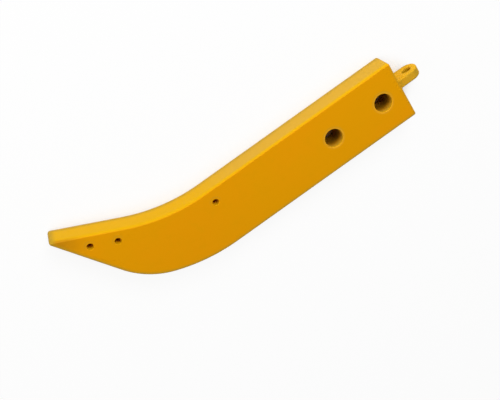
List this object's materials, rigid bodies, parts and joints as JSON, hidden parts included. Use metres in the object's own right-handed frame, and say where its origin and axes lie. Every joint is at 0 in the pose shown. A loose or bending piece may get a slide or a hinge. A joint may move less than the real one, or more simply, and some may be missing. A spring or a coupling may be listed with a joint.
{
  "type": "ripper shank",
  "caption": "Thick steel ripper shank with a straight stem, a hooked wedge nose, cross bores for carrier and wear part pins, and a welded lifting eye on its top end.",
  "frame": {"origin": "centre of the upper carrier pin bore, at the middle of the plate's thickness", "axes": "+X up the stem towards the lifting eye, +Y towards the concave front edge, +Z along the pin bores; the part lies on its broad side"},
  "size_m": [1.2796, 0.3775, 0.1],
  "materials": {
    "shank_paint": "satin yellow machine paint on ground plate",
    "eye_paint": "satin yellow machine paint on a forged lug",
    "weld_paint": "satin yellow machine paint over a rippled weld bead"
  },
  "bodies": {
    "root": {"shank": "shank_paint", "lifting_eye": "eye_paint", "eye_weld": "weld_paint"}
  },
  "joints": []
}
